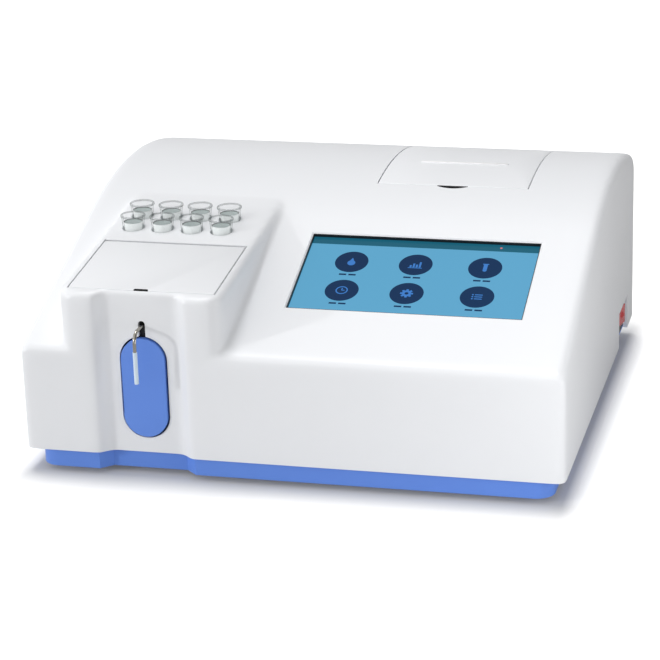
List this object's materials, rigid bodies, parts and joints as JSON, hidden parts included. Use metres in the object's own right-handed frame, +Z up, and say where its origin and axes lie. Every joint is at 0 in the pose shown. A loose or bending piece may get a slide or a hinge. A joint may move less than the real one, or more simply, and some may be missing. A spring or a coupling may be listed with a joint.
{
  "type": "chemistry analyzer",
  "caption": "Bench-top chemistry analyzer: white wedge housing on a blue tray, touch screen, cup block with probe and aspirate key, printer under a hinged cover.",
  "frame": {"origin": "on the table under the middle of the body, probe and waste fitting included", "axes": "+X to the right, +Y to the rear, +Z up; the front with the aspirate key faces -Y"},
  "size_m": [0.35, 0.3488, 0.152],
  "materials": {
    "housing_white": "satin moulded",
    "tray_blue": "satin moulded",
    "rubber": "matt",
    "steel": "brushed",
    "panel_grey": "fine powder coat",
    "dark_plastic": "matt moulded",
    "fluoropolymer": "waxy translucent",
    "clear_tube": "clear soft tube",
    "aluminium": "machined",
    "clear_glass": "polished",
    "clear_cup": "clear moulded",
    "filter_glass": "coated",
    "circuit_board": "solder mask",
    "screen_glass": "gloss",
    "screen_panel": "lit panel",
    "paper": "smooth",
    "rocker_red": "gloss moulded"
  },
  "bodies": {
    "chassis": {"base_tray": "tray_blue", "rubber_feet": "rubber", "case_screws": "steel", "upper_housing": "housing_white", "cup_rack": "housing_white", "rear_panel": "panel_grey", "lid_rod": "steel", "cell_tub": "dark_plastic", "probe_tube": "steel", "probe_tip": "fluoropolymer", "sample_tube": "clear_tube", "flow_cell_block": "aluminium", "flow_cell": "clear_glass", "detector_board": "circuit_board", "pump_body": "dark_plastic", "pump_motor": "dark_plastic", "pump_tube": "clear_tube", "waste_fitting": "dark_plastic", "key_pin": "steel", "start_switch": "dark_plastic", "incubator_block": "aluminium", "optical_bench": "aluminium", "wheel_motor": "dark_plastic", "lens": "clear_glass", "lamp_house": "aluminium", "lamp": "clear_glass", "display_glass": "screen_glass", "display_panel": "screen_panel", "display_bracket": "steel", "display_screws": "steel", "printer_tub": "dark_plastic", "cover_rod": "steel", "printer_mech": "dark_plastic", "main_board": "circuit_board", "power_supply": "steel", "fan_frame": "dark_plastic", "mains_inlet": "dark_plastic", "data_ports": "steel", "power_switch": "dark_plastic"},
    "cell_lid": {"cell_lid": "housing_white"},
    "printer_cover": {"printer_cover": "housing_white"},
    "aspirate_key": {"aspirate_key": "tray_blue"},
    "power_rocker": {"power_rocker": "rocker_red"},
    "paper_roll": {"paper_roll": "paper"},
    "platen_roller": {"platen_roller": "rubber"},
    "filter_wheel": {"filter_wheel": "dark_plastic", "filters": "filter_glass"},
    "pump_rotor": {"pump_rotor": "housing_white"},
    "fan_rotor": {"fan_rotor": "dark_plastic"},
    "roller_1": {"roller_1": "steel"},
    "roller_2": {"roller_2": "steel"},
    "roller_3": {"roller_3": "steel"},
    "cup_1": {"cup_1": "clear_cup"},
    "cup_2": {"cup_2": "clear_cup"},
    "cup_3": {"cup_3": "clear_cup"},
    "cup_4": {"cup_4": "clear_cup"},
    "cup_5": {"cup_5": "clear_cup"},
    "cup_6": {"cup_6": "clear_cup"},
    "cup_7": {"cup_7": "clear_cup"},
    "cup_8": {"cup_8": "clear_cup"}
  },
  "joints": [
    {"name": "lid_hinge", "type": "hinge", "parent": "chassis", "child": "cell_lid", "pos_m": [-0.094, -0.08793, 0.12675], "axis": [-1, 0, 0], "range_deg": [0, 80]},
    {"name": "cover_hinge", "type": "hinge", "parent": "chassis", "child": "printer_cover", "pos_m": [0.069, 0.13108, 0.13995], "axis": [-1, 0, 0], "range_deg": [0, 75]},
    {"name": "key_swing", "type": "hinge", "parent": "chassis", "child": "aspirate_key", "pos_m": [-0.094, -0.15, 0.082], "axis": [1, 0, 0], "range_deg": [0, 4], "stiffness_Nm_per_rad": 0.9},
    {"name": "rocker_tip", "type": "hinge", "parent": "chassis", "child": "power_rocker", "pos_m": [0.166, 0.107, 0.031], "axis": [0, 0, 1], "range_deg": [0, 16]},
    {"name": "roll_spin", "type": "hinge", "parent": "chassis", "child": "paper_roll", "pos_m": [0.069, 0.099, 0.1153], "axis": [1, 0, 0], "continuous": true},
    {"name": "platen_spin", "type": "hinge", "parent": "chassis", "child": "platen_roller", "pos_m": [0.069, 0.057, 0.128], "axis": [1, 0, 0], "continuous": true},
    {"name": "wheel_spin", "type": "hinge", "parent": "chassis", "child": "filter_wheel", "pos_m": [-0.12, -0.0205, 0.077], "axis": [0, 1, 0], "continuous": true},
    {"name": "pump_spin", "type": "hinge", "parent": "chassis", "child": "pump_rotor", "pos_m": [-0.07, -0.1156, 0.0973], "axis": [0, 0, 1], "continuous": true},
    {"name": "fan_spin", "type": "hinge", "parent": "chassis", "child": "fan_rotor", "pos_m": [-0.12, 0.1605, 0.064], "axis": [0, 1, 0], "continuous": true},
    {"name": "roller_1_spin", "type": "hinge", "parent": "pump_rotor", "child": "roller_1", "pos_m": [-0.0605, -0.1156, 0.0973], "axis": [0, 0, 1], "continuous": true},
    {"name": "roller_2_spin", "type": "hinge", "parent": "pump_rotor", "child": "roller_2", "pos_m": [-0.07475, -0.10737, 0.0973], "axis": [0, 0, 1], "continuous": true},
    {"name": "roller_3_spin", "type": "hinge", "parent": "pump_rotor", "child": "roller_3", "pos_m": [-0.07475, -0.12383, 0.0973], "axis": [0, 0, 1], "continuous": true},
    {"name": "cup_1_lift", "type": "slide", "parent": "chassis", "child": "cup_1", "axis": [0, 0, 1], "range_m": [0, 0.045]},
    {"name": "cup_2_lift", "type": "slide", "parent": "chassis", "child": "cup_2", "axis": [0, 0, 1], "range_m": [0, 0.045]},
    {"name": "cup_3_lift", "type": "slide", "parent": "chassis", "child": "cup_3", "axis": [0, 0, 1], "range_m": [0, 0.045]},
    {"name": "cup_4_lift", "type": "slide", "parent": "chassis", "child": "cup_4", "axis": [0, 0, 1], "range_m": [0, 0.045]},
    {"name": "cup_5_lift", "type": "slide", "parent": "chassis", "child": "cup_5", "axis": [0, 0, 1], "range_m": [0, 0.045]},
    {"name": "cup_6_lift", "type": "slide", "parent": "chassis", "child": "cup_6", "axis": [0, 0, 1], "range_m": [0, 0.045]},
    {"name": "cup_7_lift", "type": "slide", "parent": "chassis", "child": "cup_7", "axis": [0, 0, 1], "range_m": [0, 0.045]},
    {"name": "cup_8_lift", "type": "slide", "parent": "chassis", "child": "cup_8", "axis": [0, 0, 1], "range_m": [0, 0.045]}
  ],
  "couplings": [
    {"joint": "roller_1_spin", "follows": "pump_spin", "ratio": -3.7143},
    {"joint": "roller_2_spin", "follows": "pump_spin", "ratio": -3.7143},
    {"joint": "roller_3_spin", "follows": "pump_spin", "ratio": -3.7143}
  ]
}
